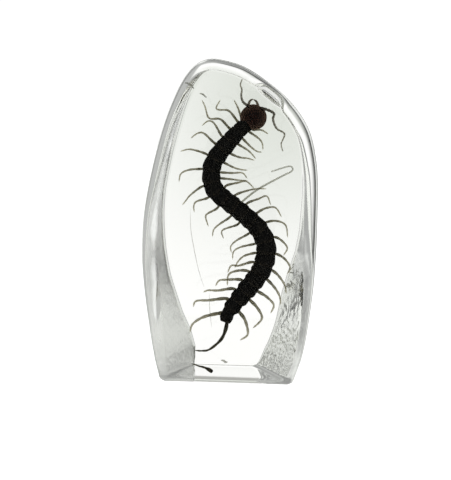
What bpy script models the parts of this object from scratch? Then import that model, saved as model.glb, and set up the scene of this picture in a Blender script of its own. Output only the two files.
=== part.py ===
"""A centipede sealed in a clear freeform block of cast resin that stands on its flat base.

Sizes are in millimetres and become metres where a mesh is made. X runs to the right as seen
from the front, Y from the flat front face to the back, and Z up from the base. The origin is
in the middle of the bounding box, at the base.
"""

import math

import bmesh
import bpy
from mathutils import Matrix, Vector

MM = 0.001

# Driving dimensions of the block.
HEIGHT = 86.4
BASE_DEPTH = 28.0
TOP_DEPTH = 13.0
LEAN = (BASE_DEPTH - TOP_DEPTH) / HEIGHT
BACK_ROUND = 1.2
# Rounding of the back face's edge: share of it inwards, and share of it still off the back face.
BACK_ROUND_RINGS = ((0.35, 0.3), (1.0, 0.0))
FRONT_Y = -(BASE_DEPTH - LEAN * BACK_ROUND) / 2
# Outline seen from the front, as (x, z), from the left base corner over the top to the right.
OUTLINE = (
    (-16.8, 0.0), (-18.0, 0.7), (-18.5, 2.2), (-19.4, 5.5), (-20.5, 10.8), (-21.4, 16.4),
    (-22.2, 21.9), (-22.8, 27.3), (-23.2, 33.0), (-23.2, 38.5), (-22.9, 44.5), (-22.0, 51.0),
    (-20.6, 58.0), (-19.0, 64.5), (-17.3, 70.2), (-15.5, 75.0), (-13.4, 79.6), (-11.2, 83.0),
    (-8.6, 85.4), (-5.5, 86.4), (-2.2, 86.1), (2.2, 84.9), (5.6, 83.2), (8.8, 81.1),
    (12.6, 78.3), (15.6, 75.4), (18.3, 72.0), (20.4, 68.2), (21.8, 63.6), (22.7, 58.6),
    (23.1, 53.0), (23.2, 46.0), (23.2, 38.5), (23.0, 32.0), (22.7, 26.5), (22.0, 19.5),
    (21.1, 12.5), (20.2, 7.8), (19.2, 4.4), (18.4, 1.9), (17.8, 0.6), (16.6, 0.0),
)
OUTLINE_STEPS = 2
BASE_LINE_STEPS = 6
# Width of the rounded border around the front face, by height.
BORDER = ((0.0, 1.5), (5.0, 1.8), (10.0, 2.7), (20.0, 3.5), (60.0, 3.5), (80.0, 3.0), (HEIGHT, 2.7))
BORDER_DEPTH_RATIO = 0.9
BORDER_STEPS = 3
# How far the back face's edge lies inside the outline, by height: the walls' draft.
BACK_INSET = ((0.0, 9.6), (6.0, 8.7), (12.0, 7.9), (25.0, 6.4), (37.0, 4.7), (51.0, 3.8), (70.0, 3.3),
              (HEIGHT, 2.4))
WALL_STEPS = 3
WALL_BULGE = 1.15
UPRIGHT_BELOW = 2.2
SQUARE_ABOVE = 12.0

# The plane that the animal lies in, the slit between the two parts, and the room around it.
SPECIMEN_DEPTH = 6.5
SPECIMEN_Y = FRONT_Y + SPECIMEN_DEPTH
SLIT = 0.3
LEG_POCKET_DEPTH = 2.5
ROOM_AROUND_TRUNK = 0.45
ROOM_AROUND_HEAD = 0.5
ROOM_AROUND_LOOSE_PIECE = 0.35
POCKET_STEPS = 20
POCKET_SIDES = 8
# Outline of the flat pocket for the legs and antennae, as (x, z).
LEG_POCKET = (
    (0.9, 83.0), (4.1, 83.0), (5.4, 79.0), (8.4, 77.5), (12.4, 75.1), (14.4, 71.1),
    (16.7, 67.9), (16.5, 62.6), (17.9, 59.4), (17.7, 55.6), (15.4, 51.8), (16.2, 47.8),
    (17.3, 42.4), (17.4, 37.0), (18.3, 30.8), (17.4, 23.2), (15.3, 17.6), (11.8, 13.4),
    (8.1, 9.5), (3.7, 8.8), (0.5, 8.6), (-3.0, 6.3), (-9.0, 5.9), (-11.7, 7.4),
    (-11.9, 11.2), (-12.7, 15.6), (-11.6, 22.7), (-8.8, 27.2), (-6.7, 30.4), (-4.4, 35.6),
    (-6.7, 37.8), (-9.1, 42.4), (-12.9, 44.7), (-15.1, 47.4), (-15.7, 52.5), (-15.6, 62.2),
    (-13.1, 65.6), (-11.6, 69.0), (-10.2, 73.4), (-10.0, 77.2), (-5.2, 77.9), (-0.2, 78.2),
)

# Trunk: its middle line as (x, z) from the neck to the tail, its width along it, and its form.
TRUNK_LINE = (
    (4.4, 69.6), (3.2, 68.6), (1.6, 66.7), (-0.7, 64.0), (-2.9, 61.5), (-4.7, 58.6),
    (-5.1, 55.6), (-4.6, 52.9), (-3.4, 50.9), (-0.7, 48.8), (2.3, 46.5), (4.9, 44.4),
    (7.8, 41.5), (9.7, 37.8), (9.9, 34.4), (9.0, 31.0), (7.4, 28.1), (5.3, 25.3),
    (2.4, 21.7), (0.4, 18.8), (-0.2, 16.9),
)
TRUNK_WIDTH = ((0.0, 3.3), (0.06, 3.6), (0.15, 4.3), (0.32, 5.0), (0.5, 4.9), (0.68, 5.5), (0.84, 4.9),
               (0.93, 4.0), (1.0, 2.6))
TRUNK_THICKNESS_RATIO = 0.56
SEGMENTS = 21
# Rings of one segment, as (share of its length, scale of its width): waisted behind each joint.
SEGMENT_RINGS = ((0.2, 0.84), (0.75, 1.0))
NECK_SCALE = 0.7
TAIL_SCALE = 0.6
TRUNK_SIDES = 10

# Head: middle as (x, z), and half sizes across, through and along.
HEAD = (6.0, 71.4)
HEAD_HALF = (3.25, 1.6, 3.4)
HEAD_LEAN = math.radians(-8.0)
HEAD_SIDES = 12
HEAD_BANDS = 8

# Legs and other tapered tubes: (x, z) points from the trunk outwards.
LEFT_LEGS = (
    ((2.4, 71.3), (1.6, 73.4), (0.5, 75.5)),
    ((1.3, 70.2), (-0.8, 72.6), (-3.3, 72.8), (-4.1, 73.3), (-3.0, 75.5)),
    ((-0.8, 68.3), (-3.0, 70.4), (-5.9, 70.6), (-7.0, 73.6), (-7.9, 75.4)),
    ((-2.6, 66.1), (-4.6, 69.3), (-6.2, 69.8), (-7.8, 68.5)),
    ((-5.1, 64.7), (-7.2, 66.6), (-8.8, 66.6), (-10.7, 65.2)),
    ((-6.6, 61.2), (-9.1, 62.0), (-11.2, 62.3), (-13.4, 61.7)),
    ((-7.4, 57.2), (-10.9, 56.9), (-13.1, 55.8), (-13.6, 53.6)),
    ((-7.9, 52.3), (-10.6, 50.1), (-11.6, 48.8), (-12.7, 47.4)),
    ((-6.2, 49.4), (-8.9, 48.5), (-9.6, 47.2), (-9.4, 45.6)),
    ((-3.5, 46.7), (-5.9, 45.3), (-6.4, 44.3), (-5.6, 41.8)),
    ((-0.2, 44.3), (-2.9, 42.4), (-4.2, 41.0), (-4.5, 39.1)),
    ((2.0, 42.5), (-1.0, 41.4), (-2.1, 40.5), (-1.5, 38.6)),
    ((5.0, 40.1), (1.7, 38.1), (0.4, 36.5), (0.7, 34.9)),
    ((6.6, 37.4), (3.1, 36.5), (1.2, 35.2), (1.0, 33.0)),
    ((6.9, 35.0), (4.0, 34.1), (2.4, 32.5), (1.6, 30.8)),
    ((6.1, 32.5), (2.6, 31.4), (0.7, 31.4), (-0.3, 29.4)),
    ((4.8, 30.1), (2.1, 30.0), (0.0, 28.9), (-0.3, 25.9)),
    ((3.2, 27.6), (-0.3, 27.5), (-2.5, 27.2), (-3.5, 25.6)),
    ((1.1, 25.1), (-2.7, 24.5), (-5.4, 24.5), (-6.8, 23.9)),
    ((-0.8, 22.3), (-5.1, 21.7), (-8.6, 21.4), (-9.4, 19.7)),
    ((-2.1, 18.2), (-6.4, 17.1), (-9.4, 15.1), (-10.2, 12.6)),
)
RIGHT_LEGS = (
    ((5.7, 67.8), (7.8, 67.8), (9.7, 66.8)),
    ((4.3, 67.5), (7.0, 65.7), (8.1, 64.4), (8.4, 62.5)),
    ((3.0, 65.4), (5.2, 63.3), (6.8, 62.2), (8.2, 62.0)),
    ((1.7, 64.0), (4.4, 62.4), (5.8, 61.1), (6.6, 60.1)),
    ((0.1, 61.3), (2.3, 60.5), (4.4, 60.3), (6.3, 59.8)),
    ((-2.0, 59.1), (0.7, 57.8), (2.6, 57.3), (4.5, 57.1)),
    ((-2.8, 56.4), (0.4, 56.3), (3.1, 56.4), (4.5, 54.9)),
    ((-2.5, 54.8), (0.5, 54.6), (2.6, 54.4), (4.5, 54.4)),
    ((-0.9, 53.0), (2.1, 53.8), (4.2, 54.2), (6.4, 52.3)),
    ((1.6, 50.6), (4.5, 51.7), (7.2, 52.3), (9.6, 52.3)),
    ((4.8, 48.5), (7.5, 49.6), (9.7, 50.4), (10.8, 48.0)),
    ((7.6, 46.1), (9.7, 47.2), (12.1, 47.3), (13.8, 44.8)),
    ((9.8, 43.4), (12.5, 43.8), (14.9, 42.7), (15.5, 39.4)),
    ((12.3, 39.4), (14.2, 38.3), (15.5, 36.5), (14.5, 34.5)),
    ((12.9, 34.8), (15.0, 33.5), (16.4, 31.3), (15.6, 29.4)),
    ((11.9, 30.2), (13.5, 28.8), (15.1, 26.4), (15.6, 24.0)),
    ((10.5, 27.7), (12.5, 25.6), (13.8, 23.4), (14.2, 21.0)),
    ((8.1, 24.4), (10.3, 23.1), (12.3, 20.9), (11.5, 18.5)),
    ((5.7, 22.2), (7.9, 20.0), (9.2, 17.1), (6.8, 14.3)),
    ((3.1, 18.6), (4.7, 16.4), (5.5, 12.6), (3.4, 10.8)),
)
# One leg of the upper right side is drawn out into a long thread that folds back at its end.
THREAD_LEG = (
    (3.4, 48.9), (6.7, 51.7), (10.2, 53.9), (14.2, 56.1), (16.0, 57.1), (16.3, 57.9),
    (15.2, 58.4), (10.7, 56.9),
)
LAST_LEG = ((-0.2, 17.2), (-0.4, 14.2), (-1.7, 10.9), (-4.7, 8.1), (-6.8, 7.6), (-9.0, 7.7))
ANTENNAE = (
    ((4.4, 73.8), (3.2, 75.9), (2.6, 77.7), (2.0, 79.5), (2.5, 81.7)),
    ((7.8, 73.2), (11.5, 72.3), (11.3, 70.0), (12.4, 68.2), (14.5, 67.0), (13.5, 64.4), (14.1, 62.3)),
)
CLAWS = (
    ((3.8, 73.2), (4.5, 75.6), (5.6, 76.2)),
    ((8.0, 73.2), (7.1, 75.6), (6.0, 76.2)),
)
LOOSE_PIECE = ((-9.5, 3.9), (-7.6, 3.3), (-6.0, 2.9), (-4.7, 2.3), (-3.9, 1.7))

# Radii at the root and at the tip, and how far neighbours stand off the plane, turn about.
LEG_RADII = (0.42, 0.17)
LAST_LEG_RADII = (0.62, 0.2)
THREAD_RADII = (0.26, 0.15)
ANTENNA_RADII = (0.3, 0.13)
CLAW_RADII = (0.55, 0.22)
LOOSE_RADII = (0.16, 0.5)
LEG_STAGGER = 0.16
THREAD_STAND_OFF = 0.32
CLAW_STAND_OFFS = (-0.1, 0.1)
# Lengths that each tube is made of, and how far a leg's root reaches into the trunk.
LEG_STEPS = 6
LONG_LEG_STEPS = 12
ANTENNA_STEPS = (6, 14)
CLAW_STEPS = 5
LOOSE_STEPS = 8
LINE_STEPS = 4
ROOT_REACH = 0.7

RESIN_COLOUR = (0.95, 0.97, 0.95)
RESIN_ROUGHNESS = 0.03
RESIN_IOR = 1.5
CUTICLE_COLOUR = (0.03, 0.022, 0.014)
CUTICLE_ROUGHNESS = 0.35


def add_collection(name):
    """A new collection of the scene."""
    collection = bpy.data.collections.new(name)
    bpy.context.scene.collection.children.link(collection)
    return collection


def look_up(table, at):
    """The value of a table of (place, value) pairs, in a straight line between its rows."""
    for (low, low_value), (high, high_value) in zip(table, table[1:]):
        if at <= high:
            return low_value + (high_value - low_value) * (at - low) / (high - low)
    return table[-1][1]


def smooth_line(points, steps):
    """Points of a smooth curve through the given (x, z) points, with steps to each stretch."""
    given = [Vector(point) for point in points]
    padded = [2 * given[0] - given[1]] + given + [2 * given[-1] - given[-2]]
    line = []
    for before, start, end, after in zip(padded, padded[1:], padded[2:], padded[3:]):
        for step in range(steps):
            t = step / steps
            line.append(0.5 * (
                2 * start + (end - before) * t
                + (2 * before - 5 * start + 4 * end - after) * t ** 2
                + (3 * start - before - 3 * end + after) * t ** 3
            ))
    line.append(given[-1])
    return line


def new_object(name, bm, collection, material=None):
    """An object made of a bmesh whose sizes are in millimetres."""
    bmesh.ops.scale(bm, vec=(MM, MM, MM), verts=bm.verts)
    bmesh.ops.recalc_face_normals(bm, faces=bm.faces)
    mesh = bpy.data.meshes.new(name)
    bm.to_mesh(mesh)
    bm.free()
    if material:
        mesh.materials.append(material)
    piece = bpy.data.objects.new(name, mesh)
    collection.objects.link(piece)
    return piece


def as_cutter(piece):
    """Marks a piece as a tool that only shapes others."""
    piece.hide_render = True
    piece.display_type = "WIRE"
    return piece


def loft(rings):
    """A closed solid through rings of points, each ring with as many points as the next."""
    bm = bmesh.new()
    loops = []
    for ring in rings:
        verts = [bm.verts.new(point) for point in ring]
        edges = [bm.edges.new((verts[i - 1], verts[i])) for i in range(len(verts))]
        loops.append((verts, edges))
    for (lower, _), (upper, _) in zip(loops, loops[1:]):
        for i in range(len(lower)):
            bm.faces.new((lower[i - 1], lower[i], upper[i], upper[i - 1]))
    bm.faces.new(loops[0][0])
    bm.faces.new(loops[-1][0])
    bmesh.ops.triangulate(bm, faces=bm.faces)
    return bm


def make_material(name, colour, roughness, transmission=0.0):
    """A Principled material of one colour, clear if it has transmission."""
    made = bpy.data.materials.new(name)
    made.use_nodes = True
    shader = made.node_tree.nodes["Principled BSDF"]
    shader.inputs["Base Color"].default_value = (*colour, 1.0)
    shader.inputs["Roughness"].default_value = roughness
    shader.inputs["Metallic"].default_value = 0.0
    shader.inputs["Transmission Weight"].default_value = transmission
    shader.inputs["IOR"].default_value = RESIN_IOR
    return made


def block_bmesh():
    """The whole block: front face, rounded border, drafted walls, leaning back and flat base."""
    outline = smooth_line(OUTLINE, OUTLINE_STEPS)
    for point in outline:
        point.y = min(max(point.y, 0.0), HEIGHT)
    inward = []
    level = []
    for i, point in enumerate(outline):
        along = outline[min(i + 1, len(outline) - 1)] - outline[max(i - 1, 0)]
        square = Vector((along.y, -along.x)).normalized()
        sideways = Vector((-math.copysign(1.0, point.x), 0.0))
        share = min(max((point.y - UPRIGHT_BELOW) / (SQUARE_ABOVE - UPRIGHT_BELOW), 0.0), 1.0)
        inward.append(Vector((0.0, 1.0)) if point.y == 0.0 else square)
        level.append(sideways.lerp(square, share).normalized())

    def closed_ring(points):
        """A ring through the outline's points and back along the base."""
        start, end = points[-1], points[0]
        return points + [start.lerp(end, step / BASE_LINE_STEPS) for step in range(1, BASE_LINE_STEPS)]

    def leaning_back(z):
        """How deep the block is at a height."""
        return BASE_DEPTH - LEAN * z

    border = [look_up(BORDER, point.y) for point in outline]
    inset = [look_up(BACK_INSET, point.y) for point in outline]
    rings = []
    for step in range(BORDER_STEPS + 1):
        turn = math.radians(90.0) * step / BORDER_STEPS
        ring = []
        for point, normal, width in zip(outline, inward, border):
            place = point + normal * width * (1.0 - math.sin(turn))
            depth = width * BORDER_DEPTH_RATIO * (1.0 - math.cos(turn))
            ring.append(Vector((place.x, FRONT_Y + depth, place.y)))
        rings.append(closed_ring(ring))
    walls = []
    for point, normal, width, reach in zip(outline, level, border, inset):
        start = Vector((point.x, FRONT_Y + width * BORDER_DEPTH_RATIO, point.y))
        foot = point + normal * reach
        end = Vector((foot.x, FRONT_Y + leaning_back(foot.y), foot.y))
        walls.append((start, end, normal))
    for step in range(1, WALL_STEPS + 1):
        ring = []
        for start, end, _ in walls:
            share = (1.0 - BACK_ROUND / (end.y - start.y)) * step / WALL_STEPS
            place = start.lerp(end, share ** WALL_BULGE)
            place.y = start.y + (end.y - start.y) * share
            ring.append(place)
        rings.append(closed_ring(ring))
    for share, back_off in BACK_ROUND_RINGS:
        ring = []
        for start, end, normal in walls:
            lift = max(1.0 - end.z / UPRIGHT_BELOW, 0.0)
            inward_step = Vector((normal.x, 0.0, normal.y + lift))
            place = end + inward_step * BACK_ROUND * share
            place.y = FRONT_Y + leaning_back(place.z) - BACK_ROUND * back_off
            ring.append(place)
        rings.append(closed_ring(ring))
    return loft(rings)


def station(line, share):
    """Place and direction on a line of points, by share of its length."""
    lengths = [(after - before).length for before, after in zip(line, line[1:])]
    left = share * sum(lengths)
    for before, after, length in zip(line, line[1:], lengths):
        if left <= length or after is line[-1]:
            direction = (after - before) / length
            return before + direction * min(left, length), direction
        left -= length


def trunk_rings(swell, sides, shares_and_scales):
    """Flattened oval rings along the trunk, each swollen by the same amount."""
    line = smooth_line(TRUNK_LINE, LINE_STEPS)
    rings = []
    for share, scale in shares_and_scales:
        place, direction = station(line, share)
        across = Vector((direction.y, 0.0, -direction.x))
        half_width = look_up(TRUNK_WIDTH, share) * scale / 2 + swell
        half_thickness = look_up(TRUNK_WIDTH, share) * scale * TRUNK_THICKNESS_RATIO / 2 + swell
        ring = []
        for side in range(sides):
            turn = 2 * math.pi * (side + 0.5) / sides
            middle = Vector((place.x, SPECIMEN_Y, place.y))
            through = Vector((0.0, math.sin(turn) * half_thickness, 0.0))
            ring.append(middle + across * math.cos(turn) * half_width + through)
        rings.append(ring)
    return rings


def trunk_profile():
    """Share of the length and scale of each ring, from the neck to the tail."""
    profile = [(0.0, NECK_SCALE)]
    for segment in range(SEGMENTS):
        profile += [((segment + share) / SEGMENTS, scale) for share, scale in SEGMENT_RINGS]
    profile.append((1.0, TAIL_SCALE))
    return profile


def tube(name, points, radii, steps, collection, stand_off=0.0):
    """A tapered round tube through (x, z) points, first a curve and then a closed mesh."""
    smooth = smooth_line(points, LINE_STEPS)
    line = [station(smooth, step / steps)[0] for step in range(steps + 1)]
    data = bpy.data.curves.new(name, "CURVE")
    data.dimensions = "3D"
    data.bevel_depth = MM
    data.bevel_resolution = 1
    data.use_fill_caps = True
    spline = data.splines.new("POLY")
    spline.points.add(len(line) - 1)
    for i, (point, place) in enumerate(zip(spline.points, line)):
        share = i / (len(line) - 1)
        point.co = (place.x * MM, (SPECIMEN_Y + stand_off * share) * MM, place.y * MM, 1.0)
        point.radius = radii[0] + (radii[1] - radii[0]) * share
    curve = bpy.data.objects.new(name + "_curve", data)
    collection.objects.link(curve)
    bpy.context.view_layer.update()
    evaluated = curve.evaluated_get(bpy.context.evaluated_depsgraph_get())
    mesh = bpy.data.meshes.new_from_object(evaluated)
    bm = bmesh.new()
    bm.from_mesh(mesh)
    bmesh.ops.remove_doubles(bm, verts=bm.verts, dist=0.000001)
    bmesh.ops.recalc_face_normals(bm, faces=bm.faces)
    bmesh.ops.triangulate(bm, faces=bm.faces)
    bm.to_mesh(mesh)
    bm.free()
    piece = bpy.data.objects.new(name, mesh)
    piece.matrix_world = curve.matrix_world
    collection.objects.link(piece)
    bpy.data.objects.remove(curve)
    return piece


def rooted(points):
    """A leg's points, with one more inside the trunk that its root grows from."""
    line = smooth_line(TRUNK_LINE, LINE_STEPS)
    root = Vector(points[0])
    nearest = min(line, key=lambda place: (place - root).length)
    return (tuple(root.lerp(nearest, ROOT_REACH)),) + tuple(points)


def combine(piece, operation, others, solver="EXACT"):
    """Joins the other objects to a piece, or takes them away from it, one after the other."""
    for other in others:
        modifier = piece.modifiers.new(other.name, "BOOLEAN")
        modifier.operation = operation
        modifier.object = other
        modifier.solver = solver


def head_bmesh(half_sizes):
    """The head's flattened egg shape, at its place."""
    bm = bmesh.new()
    bmesh.ops.create_uvsphere(bm, u_segments=HEAD_SIDES, v_segments=HEAD_BANDS, radius=1.0)
    bmesh.ops.scale(bm, vec=half_sizes, verts=bm.verts)
    bmesh.ops.rotate(bm, matrix=Matrix.Rotation(HEAD_LEAN, 3, "Y"), verts=bm.verts)
    bmesh.ops.translate(bm, vec=(HEAD[0], SPECIMEN_Y, HEAD[1]), verts=bm.verts)
    return bm


def make_centipede(parts, cuticle):
    """The animal: trunk with head, legs, antennae and claws joined into one body."""
    limbs = add_collection("limbs")
    trunk = new_object("centipede", loft(trunk_rings(0.0, TRUNK_SIDES, trunk_profile())), parts, cuticle)
    as_cutter(new_object("head", head_bmesh(HEAD_HALF), limbs))
    for side, legs in (("left", LEFT_LEGS), ("right", RIGHT_LEGS)):
        for number, points in enumerate(legs):
            stand_off = LEG_STAGGER * (1 if number % 2 else -1)
            name = f"leg_{side}_{number}"
            as_cutter(tube(name, rooted(points), LEG_RADII, LEG_STEPS, limbs, stand_off))
    thread = tube("leg_thread", rooted(THREAD_LEG), THREAD_RADII, LONG_LEG_STEPS, limbs, THREAD_STAND_OFF)
    as_cutter(thread)
    as_cutter(tube("leg_last", rooted(LAST_LEG), LAST_LEG_RADII, LONG_LEG_STEPS, limbs))
    for number, (points, steps) in enumerate(zip(ANTENNAE, ANTENNA_STEPS)):
        as_cutter(tube(f"antenna_{number}", points, ANTENNA_RADII, steps, limbs))
    for number, (points, stand_off) in enumerate(zip(CLAWS, CLAW_STAND_OFFS)):
        as_cutter(tube(f"claw_{number}", points, CLAW_RADII, CLAW_STEPS, limbs, stand_off))
    modifier = trunk.modifiers.new("limbs", "BOOLEAN")
    modifier.operation = "UNION"
    modifier.operand_type = "COLLECTION"
    modifier.collection = limbs
    modifier.solver = "EXACT"
    return trunk


def make_loose_piece(parts, cuticle):
    """A broken curved piece of leg, lying apart near the base."""
    piece = tube("loose_leg_piece", LOOSE_PIECE, LOOSE_RADII, LOOSE_STEPS, parts)
    piece.data.materials.append(cuticle)
    return piece


def make_pocket(cutters):
    """The room that the sealed pieces take: flat around the legs, deeper for trunk and head."""
    rings = [
        [Vector((point[0], SPECIMEN_Y + offset, point[1])) for point in LEG_POCKET]
        for offset in (-LEG_POCKET_DEPTH / 2, LEG_POCKET_DEPTH / 2)
    ]
    pocket = new_object("leg_pocket", loft(rings), cutters)
    even_profile = [(step / POCKET_STEPS, 1.0) for step in range(POCKET_STEPS + 1)]
    trunk_room = loft(trunk_rings(ROOM_AROUND_TRUNK, POCKET_SIDES, even_profile))
    head_room = head_bmesh([half + ROOM_AROUND_HEAD for half in HEAD_HALF])
    wide = tuple(radius + ROOM_AROUND_LOOSE_PIECE for radius in LOOSE_RADII)
    start, second, before_last, end = (Vector(LOOSE_PIECE[i]) for i in (0, 1, -2, -1))
    start += (start - second).normalized() * ROOM_AROUND_LOOSE_PIECE
    end += (end - before_last).normalized() * ROOM_AROUND_LOOSE_PIECE
    longer = (tuple(start),) + LOOSE_PIECE + (tuple(end),)
    deeper = [
        new_object("trunk_pocket", trunk_room, cutters),
        new_object("head_pocket", head_room, cutters),
        tube("loose_pocket", longer, wide, LOOSE_STEPS, cutters),
    ]
    # The exact solver loses the flat pocket when it joins the others to it.
    combine(pocket, "UNION", [as_cutter(room) for room in deeper], "MANIFOLD")
    return as_cutter(pocket)


def slab(name, low_y, high_y, cutters):
    """A cutter that takes away everything between two depths."""
    bm = bmesh.new()
    bmesh.ops.create_cube(bm, size=1.0)
    bmesh.ops.scale(bm, vec=(2 * HEIGHT, high_y - low_y, 3 * HEIGHT), verts=bm.verts)
    bmesh.ops.translate(bm, vec=(0.0, (low_y + high_y) / 2, HEIGHT / 2), verts=bm.verts)
    return as_cutter(new_object(name, bm, cutters))


def make_block(parts, resin):
    """The clear block in its two parts, each with its share of the pocket open at the slit."""
    cutters = add_collection("block_cutters")
    behind = slab("behind", SPECIMEN_Y - SLIT / 2, FRONT_Y + 2 * BASE_DEPTH, cutters)
    before = slab("before", FRONT_Y - BASE_DEPTH, SPECIMEN_Y + SLIT / 2, cutters)
    pocket = make_pocket(cutters)
    for name, rest in (("resin_front", behind), ("resin_back", before)):
        half = new_object(name, block_bmesh(), parts, resin)
        combine(half, "DIFFERENCE", [rest, pocket])


def main():
    """Builds every piece."""
    for old in list(bpy.data.objects):
        bpy.data.objects.remove(old)
    parts = add_collection("centipede_block")
    resin = make_material("clear_resin", RESIN_COLOUR, RESIN_ROUGHNESS, 1.0)
    cuticle = make_material("cuticle", CUTICLE_COLOUR, CUTICLE_ROUGHNESS)
    make_centipede(parts, cuticle)
    make_loose_piece(parts, cuticle)
    make_block(parts, resin)


main()
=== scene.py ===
"""A dried centipede sealed in a clear cast block that stands on its flat base.

Lengths are in millimetres and become metres where a mesh is made. X runs to the right as seen from
the front, Y from the polished front face to the back, and Z up from the base.
"""

import math

import bmesh
import bpy
from mathutils import Matrix, Vector, noise


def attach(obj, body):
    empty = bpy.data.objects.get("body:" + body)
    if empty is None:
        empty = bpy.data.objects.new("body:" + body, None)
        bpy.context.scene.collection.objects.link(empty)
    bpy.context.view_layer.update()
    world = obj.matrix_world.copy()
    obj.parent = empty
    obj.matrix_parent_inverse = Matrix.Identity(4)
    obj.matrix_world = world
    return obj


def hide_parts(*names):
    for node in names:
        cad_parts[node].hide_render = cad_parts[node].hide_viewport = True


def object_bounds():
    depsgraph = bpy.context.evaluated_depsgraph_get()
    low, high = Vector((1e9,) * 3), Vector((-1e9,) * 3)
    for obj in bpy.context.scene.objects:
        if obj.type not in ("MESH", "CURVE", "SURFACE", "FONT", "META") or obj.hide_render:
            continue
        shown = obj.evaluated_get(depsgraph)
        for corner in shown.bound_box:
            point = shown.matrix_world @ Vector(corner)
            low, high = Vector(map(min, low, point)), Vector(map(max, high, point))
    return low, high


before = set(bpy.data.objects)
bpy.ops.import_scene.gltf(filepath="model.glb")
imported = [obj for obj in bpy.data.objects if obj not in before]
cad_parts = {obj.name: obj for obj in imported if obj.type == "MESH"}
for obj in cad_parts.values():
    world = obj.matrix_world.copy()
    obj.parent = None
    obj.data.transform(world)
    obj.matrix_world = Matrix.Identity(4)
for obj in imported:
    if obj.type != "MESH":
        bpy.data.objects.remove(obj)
cad_low, cad_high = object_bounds()
MM = 0.001

# --- Trunk ----------------------------------------------------------
# The animal's body: 21 leg-bearing rings, each with a hard domed plate on its back that overlaps
# the next one, a flatter plate below, and a tough folded skin between them. Grown as one piece,
# dried, and laid in the half-filled mould in an S before the second pour.

# Middle line as (x, z) from the neck to the tail, and the width along it.
TRUNK_LINE = (
    (4.1, 69.1), (2.9, 68.3), (1.3, 66.7), (-0.9, 64.1), (-3.0, 61.5), (-4.7, 58.6),
    (-5.1, 55.6), (-4.6, 52.9), (-3.4, 50.9), (-0.7, 48.8), (2.3, 46.5), (4.9, 44.4),
    (7.8, 41.5), (9.7, 37.8), (9.8, 34.3), (8.9, 30.8), (7.2, 27.9), (5.0, 25.0),
    (2.1, 21.3), (0.1, 18.4), (-0.5, 16.5),
)
TRUNK_WIDTH = ((0.0, 3.5), (0.06, 4.3), (0.15, 4.9), (0.32, 5.0), (0.5, 5.0), (0.68, 5.5), (0.84, 5.4),
               (0.93, 4.7), (1.0, 3.3))
TRUNK_THICKNESS = 0.54
SEGMENTS = 21
SKIN_SIDES = 24
SKIN_RINGS_PER_SEGMENT = 8
# The skin lies a little within the plates, in fine folds, and narrows towards both ends.
SKIN_SHARE = 0.94
FOLD_DEPTH = 0.03
FOLD_TURNS = 11.0
END_SHARE = 0.55
END_SLOPE = 1.2
# Half width of a ring along one segment, as (share of the segment, scale): waisted at the joint.
SEGMENT_FORM = ((0.0, 0.91), (0.15, 0.9), (0.4, 0.955), (0.7, 1.0), (0.88, 0.99), (1.0, 0.925))
PLATE_THICKNESS = 0.12
# Side (-1 is the back), start and length in segments, cover of the width, arch, columns and rows.
PLATES = (
    (-1, 0.0, 1.1, 1.02, TRUNK_THICKNESS, 28, 10),
    (1, 0.08, 0.9, 0.7, TRUNK_THICKNESS * 0.95, 16, 8),
)
# Where a segment is measured for its plate's width, and where its plate's far corners round off.
PLATE_WIDEST = 0.72
PLATE_END = 0.97
CORNER_FROM = 0.72
CORNER_BACK = 0.16
# A plate's arch across, its two grooves as (place, width, depth) and its raised sides.
ARCH_POWERS = (2.6, 0.55)
GROOVES = (0.3, 0.045, 0.05)
UNDER_GROOVES = 0.4
RAISED_SIDES = (0.93, 0.05, 0.035)
OVERLAP_RISE = 0.1
UNEVENNESS = 0.02
# The animal lies this far behind the front face, and a little higher than its solids.
SPECIMEN_DEPTH = 6.5
SPECIMEN_RISE = 0.4
# The resin around the horn takes most of its gloss: thick horn still shines a little, thin doesn't.
THICK_HORN_IOR = 1.14
THIN_HORN_IOR = 1.04
# Its patches, the range of them that shows, how much rougher they make it, and its fine pits.
PATCH_SCALE = 700.0
PATCH_RANGE = (0.38, 0.72)
PATCH_ROUGHNESS = 0.18
PIT_SCALE = 5200.0
PIT_DEPTH = 0.05
CAD_FRONT = cad_low.y / MM
SPECIMEN_Y = CAD_FRONT + SPECIMEN_DEPTH


def look_up(table, at):
    """The value of a table of (place, value) pairs, in a straight line between its rows."""
    for (low, low_value), (high, high_value) in zip(table, table[1:]):
        if at <= high:
            return low_value + (high_value - low_value) * (at - low) / (high - low)
    return table[-1][1]


def ramp(value, start, width):
    """How far a value has come from start through a width, from 0 to 1."""
    return min(max((value - start) / width, 0.0), 1.0)


def smooth_line(points, steps):
    """Points of a smooth curve through the given points, with steps to each stretch."""
    given = [Vector(point) for point in points]
    padded = [2 * given[0] - given[1]] + given + [2 * given[-1] - given[-2]]
    line = []
    for before, start, end, after in zip(padded, padded[1:], padded[2:], padded[3:]):
        for step in range(steps):
            t = step / steps
            line.append(0.5 * (
                2 * start + (end - before) * t
                + (2 * before - 5 * start + 4 * end - after) * t ** 2
                + (3 * start - before - 3 * end + after) * t ** 3
            ))
    line.append(given[-1])
    return line


def station(line, share):
    """Place and direction on a line of points, by share of its length."""
    lengths = [(after - before).length for before, after in zip(line, line[1:])]
    left = share * sum(lengths)
    for number, length in enumerate(lengths):
        if left <= length or number == len(lengths) - 1:
            break
        left -= length
    way = (line[number + 1] - line[number]).normalized()
    before = (line[number] - line[number - 1]).normalized() if number else way
    after = (line[number + 2] - line[number + 1]).normalized() if number + 2 < len(line) else way
    within = left / length
    turned = (before + way).lerp(way + after, within).normalized()
    return line[number] + way * left, turned


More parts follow.
